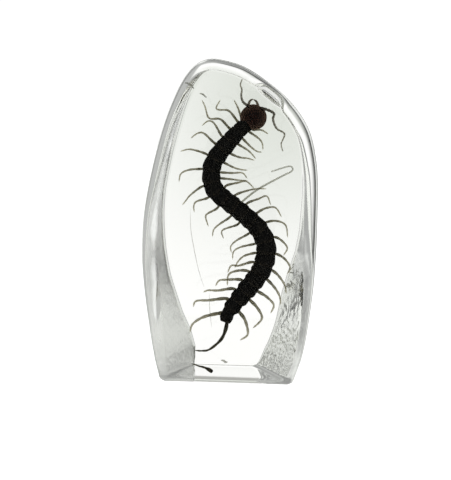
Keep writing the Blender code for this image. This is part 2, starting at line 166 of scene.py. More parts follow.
def face_outwards(bm):
    """Turns the faces of each closed part of a bmesh outwards."""
    bmesh.ops.recalc_face_normals(bm, faces=bm.faces)
    left = set(bm.faces)
    while left:
        part, reached = [], [left.pop()]
        while reached:
            face = reached.pop()
            part.append(face)
            for near in {other for edge in face.edges for other in edge.link_faces} & left:
                left.discard(near)
                reached.append(near)
        if sum(face.calc_center_median().dot(face.normal) * face.calc_area() for face in part) < 0:
            bmesh.ops.reverse_faces(bm, faces=part)


def finish_piece(name, bm, materials, replaced=(), slot=None):
    """Makes an object of a bmesh in millimetres, smooth, riding on the one body there is."""
    face_outwards(bm)
    if slot == "cuticle":
        bmesh.ops.translate(bm, vec=(0.0, 0.0, SPECIMEN_RISE), verts=bm.verts)
    bmesh.ops.scale(bm, vec=(MM, MM, MM), verts=bm.verts)
    mesh = bpy.data.meshes.new(name)
    bm.to_mesh(mesh)
    bm.free()
    mesh.shade_smooth()
    for material in materials:
        mesh.materials.append(material)
    piece = bpy.data.objects.new(name, mesh)
    bpy.context.scene.collection.objects.link(piece)
    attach(piece, "root")
    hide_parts(*replaced)
    return piece


def extrude_on(bm, edges):
    """Extrudes a loop of edges and gives the vertices and edges of the new loop."""
    new = bmesh.ops.extrude_edge_only(bm, edges=edges)["geom"]
    verts = [item for item in new if isinstance(item, bmesh.types.BMVert)]
    ends = set(verts)
    edges = [item for item in new if isinstance(item, bmesh.types.BMEdge) and set(item.verts) <= ends]
    return verts, edges


def tube(bm, rings, sides):
    """A closed tube: a circle extruded through rings, each a matrix that places a unit circle."""
    start = bmesh.ops.create_circle(bm, cap_ends=True, segments=sides, radius=1.0, matrix=rings[0])
    verts = start["verts"]
    edges = list({edge for vert in verts for edge in vert.link_edges})
    made = [verts]
    for before, after in zip(rings, rings[1:]):
        verts, edges = extrude_on(bm, edges)
        bmesh.ops.transform(bm, matrix=after @ before.inverted(), verts=verts)
        made.append(verts)
    bmesh.ops.edgeloop_fill(bm, edges=edges)
    return made


def lay_along(verts, line, length):
    """Bends a straight piece along a line: its Z becomes the way along, and X stays across."""
    for vert in verts:
        place, way = station(line, vert.co.z / length)
        over = max(vert.co.z - length, 0.0) + min(vert.co.z, 0.0)
        spot = place + way * over + Vector((way.y, -way.x)) * vert.co.x
        vert.co = (spot.x, SPECIMEN_Y + vert.co.y, spot.y)


trunk_line = smooth_line(TRUNK_LINE, 6)
trunk_length = sum((after - before).length for before, after in zip(trunk_line, trunk_line[1:]))
pitch = trunk_length / SEGMENTS


def trunk_half(along):
    """Half width of the trunk at a distance from the neck, with its scalloped edge."""
    width = look_up(TRUNK_WIDTH, ramp(along, 0.0, trunk_length))
    return width / 2 * look_up(SEGMENT_FORM, (along / pitch) % 1.0)


def add_plate(bm, rim, start, length, side, cover, arch, columns, rows):
    """A domed plate of one segment, flat at first and bent into shape."""
    grid = bmesh.ops.create_grid(bm, x_segments=columns, y_segments=rows, size=1.0)["verts"]
    faces = list({face for vert in grid for face in vert.link_faces})
    half = look_up(TRUNK_WIDTH, ramp(start + PLATE_WIDEST * pitch, 0.0, trunk_length)) / 2
    for vert in grid:
        across, within = vert.co.x, (vert.co.y + 1) / 2
        width = half * cover * look_up(SEGMENT_FORM, within * PLATE_END)
        corner = max(abs(across) - CORNER_FROM, 0.0) / (1.0 - CORNER_FROM)
        back_off = length * CORNER_BACK * corner ** 2 * max(within - 0.5, 0.0) * 2
        height = half * arch * (1 - abs(across) ** ARCH_POWERS[0]) ** ARCH_POWERS[1]
        groove = math.exp(-((abs(across) - GROOVES[0]) / GROOVES[1]) ** 2)
        groove *= 1.0 if side < 0 else UNDER_GROOVES
        border = math.exp(-((abs(across) - RAISED_SIDES[0]) / RAISED_SIDES[1]) ** 2)
        lift = OVERLAP_RISE * within ** 2 - GROOVES[2] * groove + RAISED_SIDES[2] * border
        lift += UNEVENNESS * noise.noise(Vector((across * 4, within * 3, start)))
        vert[rim] = max(within ** 6, abs(across) ** 12)
        vert.co = (width * across, side * (height + lift), start + length * within - back_off)
    bmesh.ops.solidify(bm, geom=faces, thickness=PLATE_THICKNESS)


def effect_group(name, outputs, inputs):
    """An empty shader group with its sockets and its end nodes, to be filled."""
    group = bpy.data.node_groups.new(name, "ShaderNodeTree")
    for label, kind, value in inputs:
        socket = group.interface.new_socket(label, in_out="INPUT", socket_type=kind)
        socket.default_value = value
    for label, kind in outputs:
        group.interface.new_socket(label, in_out="OUTPUT", socket_type=kind)
    return group, group.nodes.new("NodeGroupInput"), group.nodes.new("NodeGroupOutput")


def build_cuticle_mottle():
    """Patchy horn colour with fine pits: a colour, a roughness and a height over the surface."""
    group, given, made = effect_group(
        "cuticle_mottle",
        (("Color", "NodeSocketColor"), ("Roughness", "NodeSocketFloat"), ("Height", "NodeSocketFloat")),
        (("Dark", "NodeSocketColor", (0.01, 0.008, 0.005, 1.0)),
         ("Light", "NodeSocketColor", (0.05, 0.04, 0.02, 1.0)),
         ("Rough", "NodeSocketFloat", 0.35)),
    )
    nodes, links = group.nodes, group.links
    place = nodes.new("ShaderNodeTexCoord")
    patches = nodes.new("ShaderNodeTexNoise")
    patches.inputs["Scale"].default_value = PATCH_SCALE
    patches.inputs["Detail"].default_value = 4.0
    pits = nodes.new("ShaderNodeTexVoronoi")
    pits.inputs["Scale"].default_value = PIT_SCALE
    spread = nodes.new("ShaderNodeMapRange")
    spread.inputs["From Min"].default_value = PATCH_RANGE[0]
    spread.inputs["From Max"].default_value = PATCH_RANGE[1]
    mix = nodes.new("ShaderNodeMix")
    mix.data_type = "RGBA"
    rough = nodes.new("ShaderNodeMath")
    rough.operation = "MULTIPLY_ADD"
    rough.inputs[1].default_value = PATCH_ROUGHNESS
    links.new(place.outputs["Object"], patches.inputs["Vector"])
    links.new(place.outputs["Object"], pits.inputs["Vector"])
    links.new(patches.outputs["Fac"], spread.inputs["Value"])
    links.new(spread.outputs["Result"], mix.inputs["Factor"])
    links.new(given.outputs["Dark"], mix.inputs["A"])
    links.new(given.outputs["Light"], mix.inputs["B"])
    links.new(patches.outputs["Fac"], rough.inputs[0])
    links.new(given.outputs["Rough"], rough.inputs[2])
    links.new(mix.outputs["Result"], made.inputs["Color"])
    links.new(rough.outputs["Value"], made.inputs["Roughness"])
    links.new(pits.outputs["Distance"], made.inputs["Height"])
    return group


cuticle_mottle = build_cuticle_mottle()


def cuticle_material(name, dark, light, rough, edge=None, attribute=None, bump=0.15, clear=0.0):
    """Dried horn in resin: mottled, and tinted towards an edge colour where an attribute says."""
    material = bpy.data.materials.new(name)
    material.use_nodes = True
    nodes, links = material.node_tree.nodes, material.node_tree.links
    shader = nodes["Principled BSDF"]
    shader.inputs["IOR"].default_value = THIN_HORN_IOR if clear else THICK_HORN_IOR
    shader.inputs["Transmission Weight"].default_value = clear
    mottle = nodes.new("ShaderNodeGroup")
    mottle.node_tree = cuticle_mottle
    mottle.inputs["Dark"].default_value = (*dark, 1.0)
    mottle.inputs["Light"].default_value = (*light, 1.0)
    mottle.inputs["Rough"].default_value = rough
    colour = mottle.outputs["Color"]
    if attribute:
        where = nodes.new("ShaderNodeAttribute")
        where.attribute_name = attribute
        tint = nodes.new("ShaderNodeMix")
        tint.data_type = "RGBA"
        tint.inputs["B"].default_value = (*edge, 1.0)
        links.new(where.outputs["Fac"], tint.inputs["Factor"])
        links.new(colour, tint.inputs["A"])
        colour = tint.outputs["Result"]
    relief = nodes.new("ShaderNodeBump")
    relief.inputs["Strength"].default_value = bump
    relief.inputs["Distance"].default_value = PIT_DEPTH * MM
    links.new(mottle.outputs["Height"], relief.inputs["Height"])
    links.new(relief.outputs["Normal"], shader.inputs["Normal"])
    links.new(colour, shader.inputs["Base Color"])
    links.new(mottle.outputs["Roughness"], shader.inputs["Roughness"])
    return material


back_plate_horn = cuticle_material(
    "back_plate_horn", (0.002, 0.002, 0.0018), (0.008, 0.0072, 0.005), 0.35,
    edge=(0.014, 0.011, 0.007), attribute="rim",
)
flank_skin = cuticle_material("flank_skin", (0.003, 0.003, 0.002), (0.014, 0.013, 0.009), 0.5, bump=0.4)

skin = bmesh.new()
skin_rings = []
for number in range(SEGMENTS * SKIN_RINGS_PER_SEGMENT + 1):
    along = number * pitch / SKIN_RINGS_PER_SEGMENT
    half = trunk_half(along) * SKIN_SHARE + FOLD_DEPTH * math.sin(along * FOLD_TURNS)
    end = min(along, trunk_length - along) / pitch
    half *= min(1.0, END_SHARE + END_SLOPE * end)
    skin_rings.append(
        Matrix.Translation((0.0, 0.0, along)) @ Matrix.Diagonal((half, half * TRUNK_THICKNESS, 1.0, 1.0))
    )
tube(skin, skin_rings, SKIN_SIDES)
lay_along(skin.verts, trunk_line, trunk_length)
finish_piece("flank_skin", skin, [flank_skin], ["centipede"], "cuticle")

plates = bmesh.new()
rim = plates.verts.layers.float.new("rim")
for number in range(SEGMENTS):
    for side, start, length, cover, arch, columns, rows in PLATES:
        add_plate(plates, rim, (number + start) * pitch, length * pitch, side, cover, arch, columns, rows)
lay_along(plates.verts, trunk_line, trunk_length)
finish_piece("body_plates", plates, [back_plate_horn], ["centipede"], "cuticle")

# --- Head -----------------------------------------------------------
# One round, slightly domed shield over the head, of red-brown horn, with four small simple eyes at
# each front corner. It sits on the neck and covers the first body plate's front edge.

HEAD = (5.65, 71.1)
HEAD_HALF = (3.5, 1.5, 3.35)
# The upper face is flatter than the lower one, the outline a little square and narrower in front.
HEAD_FLATNESS = 0.82
HEAD_SQUARENESS = 0.03
HEAD_TAPER = 0.18
# Width and depth of the furrow behind, and place, width and height of the raised rim.
FURROW = (0.05, 0.07)
HEAD_RIM = (0.93, 0.04, 0.04)
HEAD_LEAN = math.radians(-4.0)
HEAD_SIDES = 40
HEAD_BANDS = 24
EYE_RADIUS = 0.13
EYES = ((2.35, 1.75), (2.6, 1.42), (2.2, 2.1), (2.72, 1.08))

# The head's horn turns to a paler edge colour towards its rim: a painted highlight standing in for light
# catching the domed shield's edge.
head_horn = cuticle_material(
    "head_horn", (0.007, 0.002, 0.001), (0.024, 0.007, 0.004), 0.35,
    edge=(0.11, 0.068, 0.045), attribute="rim",
)
eye_horn = cuticle_material("eye_horn", (0.002, 0.002, 0.002), (0.006, 0.005, 0.004), 0.1, bump=0.0)


def head_frame():
    """Turns the head's own frame, X across and Z forwards, into its place."""
    place = Matrix.Translation((HEAD[0], SPECIMEN_Y, HEAD[1]))
    return place @ Matrix.Rotation(HEAD_LEAN, 4, "Y")


head = bmesh.new()
rim = head.verts.layers.float.new("rim")
bmesh.ops.create_uvsphere(head, u_segments=HEAD_SIDES, v_segments=HEAD_BANDS, radius=1.0,
                          matrix=Matrix.Rotation(math.radians(90.0), 4, "X"))
for vert in head.verts:
    spot = vert.co.copy()
    round_off = math.hypot(spot.x, spot.z)
    squarer = 1.0 + HEAD_SQUARENESS * round_off ** 4 * (1 - abs(abs(spot.x) - abs(spot.z)))
    furrow = math.exp(-(spot.x / FURROW[0]) ** 2) * max(-spot.z, 0.0) * max(-spot.y, 0.0)
    lip = math.exp(-((round_off - HEAD_RIM[0]) / HEAD_RIM[1]) ** 2)
    # How far towards the rim a point lies: this share sets the painted highlight, the paler edge colour of
    # the head's horn.
    vert[rim] = min(round_off ** 4, 1.0)
    vert.co.x = spot.x * HEAD_HALF[0] * squarer * (1.0 - HEAD_TAPER * max(spot.z, 0.0) ** 2)
    vert.co.z = spot.z * HEAD_HALF[2] * squarer
    vert.co.y = spot.y * HEAD_HALF[1] * (1.0 if spot.y > 0 else HEAD_FLATNESS)
    vert.co.y += FURROW[1] * furrow - HEAD_RIM[2] * lip
bmesh.ops.transform(head, matrix=head_frame(), verts=head.verts)
finish_piece("head_shield", head, [head_horn], ["centipede"], "cuticle")

eyes = bmesh.new()
for side in (-1, 1):
    for across, forwards in EYES:
        reach = math.hypot(across / HEAD_HALF[0], forwards / HEAD_HALF[2])
        through = -HEAD_HALF[1] * HEAD_FLATNESS * math.sqrt(max(1 - reach ** 2, 0.0))
        spot = head_frame() @ Matrix.Translation((side * across, through, forwards))
        bmesh.ops.create_uvsphere(eyes, u_segments=12, v_segments=8, radius=EYE_RADIUS, matrix=spot)
finish_piece("simple_eyes", eyes, [eye_horn], ["centipede"], "cuticle")

# --- Venom claws ----------------------------------------------------
# The first pair of legs, turned into two stout curved claws below the head, whose black points
# meet in front of it. They grow from a broad plate on the underside of the head.

CLAWS = (
    ((3.7, 69.8), (3.8, 72.4), (4.3, 74.2), (4.7, 75.3), (5.5, 75.8)),
    ((7.9, 69.6), (7.5, 71.8), (6.9, 73.8), (6.4, 75.1), (5.6, 75.7)),
)
CLAW_FORM = ((0.0, 0.8), (0.3, 0.75), (0.5, 0.5), (0.62, 0.38), (0.8, 0.32), (0.92, 0.25), (1.0, 0.1))
CLAW_RINGS = 30
CLAW_SIDES = 16
CLAW_Y = (1.25, 0.1)
# Where along a claw its paler tint begins, and over what share it comes in.
CLAW_TINT = (0.4, 0.15)
CLAW_PLATE = (5.55, 70.2)
CLAW_PLATE_Y = 1.0
CLAW_PLATE_HALF = (2.3, 0.75, 2.0)

claw_horn = cuticle_material(
    "claw_horn", (0.02, 0.007, 0.003), (0.05, 0.02, 0.01), 0.25,
    edge=(0.2, 0.165, 0.12), attribute="along",
)


def new_limbs():
    """An empty bmesh, and a layer for how far along its limb each vertex lies."""
    bm = bmesh.new()
    return bm, bm.verts.layers.float.new("along")


def add_limb(bm, along, points, form, rings, sides, depths):
    """A round limb through (x, z) points: form is its radius by share, depths its Y at both ends."""
    line = smooth_line(points, 8)
    places = []
    for number in range(rings + 1):
        share = number / rings
        place, way = station(line, share)
        radius = form(share)
        depth = SPECIMEN_Y + depths[0] + (depths[1] - depths[0]) * share
        forwards = Vector((way.x, 0.0, way.y))
        sideways = Vector((-way.y, 0.0, way.x))
        turn = Matrix((sideways, Vector((0.0, 1.0, 0.0)), forwards)).transposed().to_4x4()
        spot = Matrix.Translation((place.x, depth, place.y))
        places.append(spot @ turn @ Matrix.Diagonal((radius, radius, 1.0, 1.0)))
    for number, verts in enumerate(tube(bm, places, sides)):
        for vert in verts:
            vert[along] = number / rings


claws, along = new_limbs()
for points in CLAWS:
    add_limb(claws, along, points, lambda share: look_up(CLAW_FORM, share), CLAW_RINGS, CLAW_SIDES, CLAW_Y)
for vert in claws.verts:
    vert[along] = ramp(vert[along], *CLAW_TINT)
bmesh.ops.create_uvsphere(
    claws, u_segments=24, v_segments=14, radius=1.0,
    matrix=Matrix.Translation((CLAW_PLATE[0], SPECIMEN_Y + CLAW_PLATE_Y, CLAW_PLATE[1]))
    @ Matrix.Rotation(HEAD_LEAN, 4, "Y") @ Matrix.Diagonal((*CLAW_PLATE_HALF, 1.0)),
)
finish_piece("venom_claws", claws, [claw_horn], ["centipede"], "cuticle")

# --- Antennae -------------------------------------------------------
# Two feelers of 17 short bead-like joints each, thinning to the tip. The left one stands up from
# the head, the right one dried in a zigzag.

ANTENNAE = (
    ((4.8, 72.9), (4.0, 74.1), (2.9, 75.0), (2.4, 76.5), (2.5, 78.2), (2.1, 79.4), (2.5, 80.8)),
    ((7.4, 73.2), (8.2, 73.4), (10.9, 72.3), (10.8, 70.6), (11.8, 68.3), (13.9, 66.9), (13.1, 64.3),
     (13.6, 62.3)),
)
ANTENNA_JOINTS = 17
ANTENNA_RADII = (0.42, 0.14)
ANTENNA_RINGS = ANTENNA_JOINTS * 5
ANTENNA_SIDES = 12
ANTENNA_Y = (-0.35, -0.05)
# Each bead's narrowest share of the radius, how much it swells, and how far forwards it is thickest.
BEAD_FORM = (0.8, 0.28, 1.4)
ANTENNA_TIP = 0.3

feeler_horn = cuticle_material(
    "feeler_horn", (0.03, 0.025, 0.017), (0.08, 0.065, 0.045), 0.4,
    edge=(0.5, 0.48, 0.4), attribute="along", clear=0.7,
)


def antenna_form(share):
    """Beads that are thickest near their far end."""
    within = (share * ANTENNA_JOINTS) % 1.0
    taper = ANTENNA_RADII[0] + (ANTENNA_RADII[1] - ANTENNA_RADII[0]) * share
    closed = ANTENNA_TIP if share >= 1.0 else 1.0
    narrow, swell, lean = BEAD_FORM
    return taper * (narrow + swell * math.sin(math.pi * within ** lean)) * closed


antennae, along = new_limbs()
for points in ANTENNAE:
    add_limb(antennae, along, points, antenna_form, ANTENNA_RINGS, ANTENNA_SIDES, ANTENNA_Y)
finish_piece("antennae", antennae, [feeler_horn], ["centipede"], "cuticle")

# --- Legs -----------------------------------------------------------
# Slender walking legs, a pair to a body ring, of thinner olive-brown horn that light comes
# through. Each has a hip, three long joints, two short ones and a small black claw.

LEFT_LEGS = (
    ((2.4, 71.3), (1.6, 73.4), (0.5, 75.5)),
    ((1.3, 70.2), (-0.8, 72.6), (-3.3, 72.8), (-4.1, 73.3), (-3.0, 75.5)),
    ((-0.8, 68.3), (-3.0, 70.4), (-5.9, 70.6), (-7.0, 73.6), (-7.9, 75.4)),
    ((-2.6, 66.1), (-4.6, 69.3), (-6.2, 69.8), (-7.8, 68.5)),
    ((-5.1, 64.7), (-7.2, 66.6), (-8.8, 66.6), (-10.7, 65.2)),
    ((-6.6, 61.2), (-9.1, 62.0), (-11.2, 62.3), (-13.4, 61.7)),
    ((-7.4, 57.2), (-10.9, 56.9), (-13.1, 55.8), (-13.6, 53.6)),
    ((-7.9, 52.3), (-10.6, 50.1), (-11.6, 48.8), (-12.7, 47.4)),
    ((-6.2, 49.4), (-8.9, 48.5), (-9.6, 47.2), (-9.4, 45.6)),
    ((-3.5, 46.7), (-5.9, 45.3), (-6.4, 44.3), (-5.6, 41.8)),
    ((-0.2, 44.3), (-2.9, 42.4), (-4.2, 41.0), (-4.5, 39.1)),
    ((2.0, 42.5), (-1.0, 41.4), (-2.1, 40.5), (-1.5, 38.6)),
    ((5.0, 40.1), (1.7, 38.1), (0.4, 36.5), (0.7, 34.9)),
    ((6.6, 37.4), (3.1, 36.5), (1.2, 35.2), (1.0, 33.0)),
    ((6.9, 35.0), (4.0, 34.1), (2.4, 32.5), (1.6, 30.8)),
    ((6.1, 32.5), (2.6, 31.4), (0.7, 31.4), (-0.3, 29.4)),
    ((4.8, 30.1), (2.1, 30.0), (0.0, 28.9), (-0.3, 25.9)),
    ((3.2, 27.6), (-0.3, 27.5), (-2.5, 27.2), (-3.5, 25.6)),
    ((1.1, 25.1), (-2.7, 24.5), (-5.4, 24.5), (-6.8, 23.9)),
    ((-0.8, 22.3), (-5.1, 21.7), (-8.6, 21.4), (-9.4, 19.7)),
    ((-2.1, 18.2), (-6.4, 17.1), (-9.4, 15.1), (-10.2, 12.6)),
)
RIGHT_LEGS = (
    ((5.7, 67.8), (7.8, 67.8), (9.7, 66.8)),
    ((4.3, 67.5), (7.0, 65.7), (8.1, 64.4), (8.4, 62.5)),
    ((3.0, 65.4), (5.2, 63.3), (6.8, 62.2), (8.2, 62.0)),
    ((1.7, 64.0), (4.4, 62.4), (5.8, 61.1), (6.6, 60.1)),
    ((0.1, 61.3), (2.3, 60.5), (4.4, 60.3), (6.3, 59.8)),
    ((-2.0, 59.1), (0.7, 57.8), (2.6, 57.3), (4.5, 57.1)),
    ((-2.8, 56.4), (0.4, 56.3), (3.1, 56.4), (4.5, 54.9)),
    ((-2.5, 54.8), (0.5, 54.6), (2.6, 54.4), (4.5, 54.4)),
    ((-0.9, 53.0), (2.1, 53.8), (4.2, 54.2), (6.4, 52.3)),
    ((1.6, 50.6), (4.5, 51.7), (7.2, 52.3), (9.6, 52.3)),
    ((4.8, 48.5), (7.5, 49.6), (9.7, 50.4), (10.8, 48.0)),
    ((7.6, 46.1), (9.7, 47.2), (12.1, 47.3), (13.8, 44.8)),
    ((9.8, 43.4), (12.5, 43.8), (14.9, 42.7), (15.5, 39.4)),
    ((12.3, 39.4), (14.2, 38.3), (15.5, 36.5), (14.5, 34.5)),
    ((12.9, 34.8), (15.0, 33.5), (16.4, 31.3), (15.6, 29.4)),
    ((11.9, 30.2), (13.5, 28.8), (15.1, 26.4), (15.6, 24.0)),
    ((10.5, 27.7), (12.5, 25.6), (13.8, 23.4), (14.2, 21.0)),
    ((8.1, 24.4), (10.3, 23.1), (12.3, 20.9), (11.5, 18.5)),
    ((5.7, 22.2), (7.9, 20.0), (9.2, 17.1), (6.8, 14.3)),
    ((3.1, 18.6), (4.7, 16.4), (5.5, 12.6), (3.4, 10.8)),
)
LEG_RADII = (0.4, 0.16)
LEG_JOINTS = (0.0, 0.14, 0.36, 0.56, 0.75, 0.88, 0.95, 1.0)
LEG_RINGS = 36
LEG_SIDES = 10
# Hips lie this far behind the specimen's plane, and tips before and behind it in turn.
HIP_Y = 0.35
LEG_STAGGER = 0.2
# A joint's narrowest share of the radius, its swelling and how early that ends, and the claw's taper.
JOINT_FORM = (0.84, 0.2, 1.1)
LEG_CLAW = (0.75, 0.65)
# The hind pairs are stouter, by this much for the last of them.
HIND_GROWTH = 0.45
HIND_PAIRS = 7
ROOT_REACH = 0.5

leg_horn = cuticle_material(
    "leg_horn", (0.045, 0.042, 0.022), (0.12, 0.11, 0.06), 0.4,
    edge=(0.56, 0.53, 0.41), attribute="along", clear=0.75,
)


def jointed_form(radii):
    """Radius by share of a leg: each joint swells in its middle and the claw comes to a point."""
    def form(share):
        for near, far in zip(LEG_JOINTS, LEG_JOINTS[1:]):
            if share <= far:
                break
        within = (share - near) / (far - near)
        taper = radii[0] + (radii[1] - radii[0]) * share
        if far == LEG_JOINTS[-1]:
            return taper * (LEG_CLAW[0] - LEG_CLAW[1] * within)
        narrow, swell, early = JOINT_FORM
        return taper * (narrow + swell * math.sin(math.pi * min(within * early, 1.0)))
    return form


def rooted(points):
    """A leg's points with one more inside the trunk, where its hip sits."""
    root = Vector(points[0])
    nearest = min(trunk_line, key=lambda place: (place - root).length)
    return (tuple(root.lerp(nearest, ROOT_REACH)),) + tuple(points)


for name, legs in (("legs_left", LEFT_LEGS), ("legs_right", RIGHT_LEGS)):
    walking, along = new_limbs()
    for number, points in enumerate(legs):
        tip = LEG_STAGGER * (1 if number % 2 else -1)
        stout = 1.0 + HIND_GROWTH * max(1.0 - (len(legs) - 1 - number) / HIND_PAIRS, 0.0)
        form = jointed_form([radius * stout for radius in LEG_RADII])
        add_limb(walking, along, rooted(points), form, LEG_RINGS, LEG_SIDES, (HIP_Y, tip))
    finish_piece(name, walking, [leg_horn], ["centipede"], "cuticle")

# --- Drawn-out leg --------------------------------------------------
# One upper right leg was pulled out by the setting resin into a long pale thread that turns back
# on itself near the block's edge.

THREAD_LEG = (
    (3.4, 48.9), (6.7, 51.7), (10.2, 53.9), (14.2, 56.1), (16.0, 57.1), (16.3, 57.9),
    (15.2, 58.4), (10.7, 56.9),
)
THREAD_RADII = (0.3, 0.2)
THREAD_RINGS = 60
THREAD_SIDES = 10
THREAD_Y = (0.3, 0.4)

thread_horn = cuticle_material(
    "thread_horn", (0.35, 0.35, 0.29), (0.52, 0.52, 0.45), 0.5,
    edge=(0.62, 0.62, 0.57), attribute="along", clear=0.8,
)
thread, along = new_limbs()
add_limb(thread, along, rooted(THREAD_LEG),
         lambda share: THREAD_RADII[0] + (THREAD_RADII[1] - THREAD_RADII[0]) * share,
         THREAD_RINGS, THREAD_SIDES, THREAD_Y)
finish_piece("drawn_out_leg", thread, [thread_horn], ["centipede"], "cuticle")

# --- Last leg -------------------------------------------------------
# The stout hind leg that trails behind the body in a hook, of thick black horn. Its fellow on the
# other side has broken off.

LAST_LEG = ((-0.2, 17.2), (-0.4, 14.2), (-1.7, 10.9), (-4.7, 8.1), (-6.8, 7.6), (-9.0, 7.7))
LAST_LEG_RADII = (0.66, 0.2)
LAST_LEG_RINGS = 60
LAST_LEG_SIDES = 14
LAST_LEG_Y = (0.3, 0.0)

hind_horn = cuticle_material(
    "hind_horn", (0.014, 0.012, 0.008), (0.045, 0.04, 0.026), 0.3,
    edge=(0.12, 0.11, 0.07), attribute="along",
)
last, along = new_limbs()
add_limb(last, along, rooted(LAST_LEG), jointed_form(LAST_LEG_RADII), LAST_LEG_RINGS, LAST_LEG_SIDES,
         LAST_LEG_Y)
finish_piece("last_leg", last, [hind_horn], ["centipede"], "cuticle")

# --- Loose piece ----------------------------------------------------
# A curved, broken piece of the other hind leg, of the same dark horn. It came off before the second
# pour and set near the base, apart from the animal.

LOOSE_PIECE = ((-9.5, 3.9), (-7.6, 3.3), (-6.0, 2.9), (-4.7, 2.3), (-3.9, 1.7))
LOOSE_FORM = ((0.0, 0.12), (0.2, 0.2), (0.55, 0.3), (0.6, 0.26), (0.8, 0.54), (0.95, 0.56), (1.0, 0.34))
LOOSE_RINGS = 24
LOOSE_SIDES = 14
# How far its shrunken surface is uneven, and how closely. The seed keeps it so on every run.
LOOSE_UNEVEN = (0.06, 1.7)
noise.seed_set(5)

loose, along = new_limbs()
add_limb(loose, along, LOOSE_PIECE, lambda share: look_up(LOOSE_FORM, share), LOOSE_RINGS, LOOSE_SIDES,
         (0.0, 0.0))
for vert in loose.verts:
    vert.co += LOOSE_UNEVEN[0] * noise.noise_vector(vert.co * LOOSE_UNEVEN[1])
    vert[along] = 1 - vert[along]
finish_piece("broken_leg_piece", loose, [hind_horn], ["loose_leg_piece"], "cuticle")

# --- Flakes and pour lines ------------------------------------------
# Flakes of shed skin caught close behind the front face, and hair-fine seams where the second pour
# met the set resin.

# Middle line as (x, z), greatest radius, and depth before the specimen's plane.
FLAKES = (
    (((-11.9, 79.6), (-11.1, 79.5), (-10.3, 79.0), (-9.8, 78.3)), 0.28, 4.8),
    (((-8.3, 77.1), (-7.6, 77.0), (-6.9, 76.5), (-6.4, 76.0)), 0.24, 4.8),
    (((-1.6, 5.3), (-0.9, 5.2), (-0.3, 4.8), (0.3, 4.9)), 0.3, 1.0),
    (((-10.5, 46.8), (-10.2, 40.6), (-9.1, 34.7), (-7.8, 29.2), (-6.4, 25.2)), 0.07, 0.5),
    (((-5.1, 23.8), (-4.8, 18.5), (-4.3, 14.4)), 0.07, 0.5),
)
FLAKE_RINGS = 30
FLAKE_SIDES = 10
FLAKE_TIP = 0.1
FLAKE_FULLNESS = 0.6
FLAKE_UNEVEN = (0.05, 2.3)

flake_skin = cuticle_material(
    "flake_skin", (0.45, 0.45, 0.4), (0.6, 0.6, 0.54), 0.5,
    edge=(0.5, 0.5, 0.45), attribute="along", clear=0.8,
)
flakes, along = new_limbs()
for points, radius, depth in FLAKES:
    add_limb(
        flakes, along, points,
        lambda share: radius * (FLAKE_TIP + (1 - FLAKE_TIP) * math.sin(math.pi * share) ** FLAKE_FULLNESS),
        FLAKE_RINGS, FLAKE_SIDES, (-depth, -depth),
    )
for vert in flakes.verts:
    vert.co += FLAKE_UNEVEN[0] * noise.noise_vector(vert.co * FLAKE_UNEVEN[1])
finish_piece("flakes_and_pour_lines", flakes, [flake_skin], (), "cuticle")

# --- Clear block ----------------------------------------------------
# The casting itself: clear polyester resin poured in two layers, with a ground and polished front
# face, a rounded border, a polished back that leans forwards, and a flat base. Its drafted walls
# keep the mould's pebbled skin in their lower part.

HEIGHT = 86.4
BASE_DEPTH = 27.75
TOP_DEPTH = 13.0
LEAN = (BASE_DEPTH - TOP_DEPTH) / HEIGHT
# The back edge is rounded, and sharp where the base was sawn off.
BACK_ROUND = ((0.0, 0.12), (5.0, 0.45), (HEIGHT, 0.55))
# Outline seen from the front, as (x, z), from the left base corner over the top to the right.
OUTLINE = (
    (-16.8, 0.0), (-18.0, 0.7), (-18.5, 2.2), (-19.4, 5.5), (-20.5, 10.8), (-21.4, 16.4),
    (-22.2, 21.9), (-22.8, 27.3), (-23.2, 33.0), (-23.2, 38.5), (-22.9, 44.5), (-22.0, 51.0),
    (-20.6, 58.0), (-19.0, 64.5), (-17.3, 70.2), (-15.5, 75.0), (-13.4, 79.6), (-11.2, 83.0),
    (-8.6, 85.4), (-5.5, 86.4), (-2.2, 86.1), (2.2, 84.9), (5.6, 83.2), (8.8, 81.1),
    (12.6, 78.3), (15.6, 75.4), (18.3, 72.0), (20.4, 68.2), (21.8, 63.6), (22.7, 58.6),
    (23.1, 53.0), (23.2, 46.0), (23.2, 38.5), (23.0, 32.0), (22.7, 26.5), (22.0, 19.5),
    (21.1, 12.5), (20.2, 7.8), (19.2, 4.4), (18.4, 1.9), (17.8, 0.6), (16.6, 0.0),
)
# Width of the rounded border by height, on the left and on the right.
BORDER = (
    ((0.0, 2.4), (5.0, 3.2), (10.0, 4.0), (16.0, 4.6), (26.0, 4.6), (38.0, 4.2), (48.0, 3.8),
     (60.0, 3.6), (80.0, 3.0), (HEIGHT, 2.7)),
    ((0.0, 2.2), (5.0, 1.7), (10.0, 2.1), (20.0, 2.4), (27.0, 2.8), (37.0, 3.5), (60.0, 3.5),
     (75.5, 3.1), (77.5, 1.8), (80.5, 1.8), (82.5, 2.8), (HEIGHT, 2.7)),
)
# Its depth as a share of its width.
BORDER_DEPTH_RATIO = 0.85
BORDER_RINGS = 12
# How far the walls draw in from the outline to the back edge, by height on each side.
BACK_INSET = (
    ((0.0, 7.3), (0.7, 8.3), (2.2, 8.9), (5.0, 9.6), (9.0, 9.3), (14.5, 7.9), (20.0, 7.0),
     (26.0, 6.0), (37.0, 5.0), (51.0, 3.9), (70.0, 3.4), (HEIGHT, 2.4)),
    ((0.0, 9.8), (6.0, 8.6), (12.0, 7.9), (22.0, 7.4), (28.0, 6.5), (34.0, 5.0), (40.0, 4.2),
     (51.0, 3.6), (70.0, 3.2), (76.0, 3.0), (77.8, 3.5), (80.3, 3.5), (82.0, 2.8), (HEIGHT, 2.4)),
)
WALL_RINGS = 110
WALL_BULGE = 1.15
BACK_RINGS = 5
FACE_LIP = 0.5
# A hair-thin hollow that the polishing left inside the border, above a height on each side.
GROOVE_REACH = 0.16
GROOVE_DEPTH = 0.05
GROOVE_FROM = (62.0, 33.0)
GROOVE_FADE = 8.0
